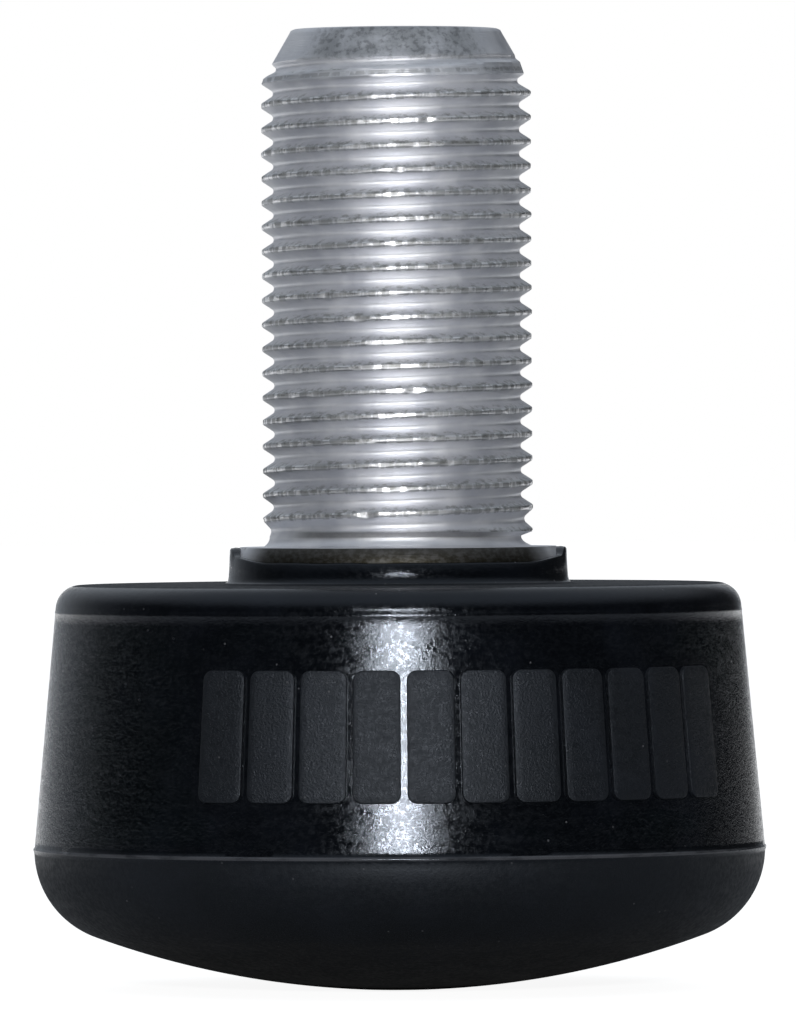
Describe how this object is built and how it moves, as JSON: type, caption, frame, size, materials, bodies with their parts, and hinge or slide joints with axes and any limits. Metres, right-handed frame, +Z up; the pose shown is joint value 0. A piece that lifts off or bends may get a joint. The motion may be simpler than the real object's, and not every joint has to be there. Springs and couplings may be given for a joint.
{
  "type": "roller skate toe stop",
  "caption": "Screw-in toe stop for a roller skate: a domed rubber puck moulded round a hidden anchor plate on a threaded aluminium stem with a shoulder.",
  "frame": {"origin": "the middle of the small flat under the domed tread, on the stem's axis, where the stop stands on the floor", "axes": "+Z up along the stem's axis, from the tread to the threaded end; X and Y are free, since the part is turned about Z"},
  "size_m": [0.0426, 0.0426, 0.0556],
  "materials": {
    "stem_aluminium": "as turned, plain grey, thread crests slightly scuffed",
    "anchor_steel": "pressed steel, bonding coat, hidden in the rubber",
    "puck_rubber": "black moulded rubber, satin sides, duller tread"
  },
  "bodies": {
    "root": {"threaded_stem": "stem_aluminium", "anchor_plate": "anchor_steel", "rubber_puck": "puck_rubber"}
  },
  "joints": []
}
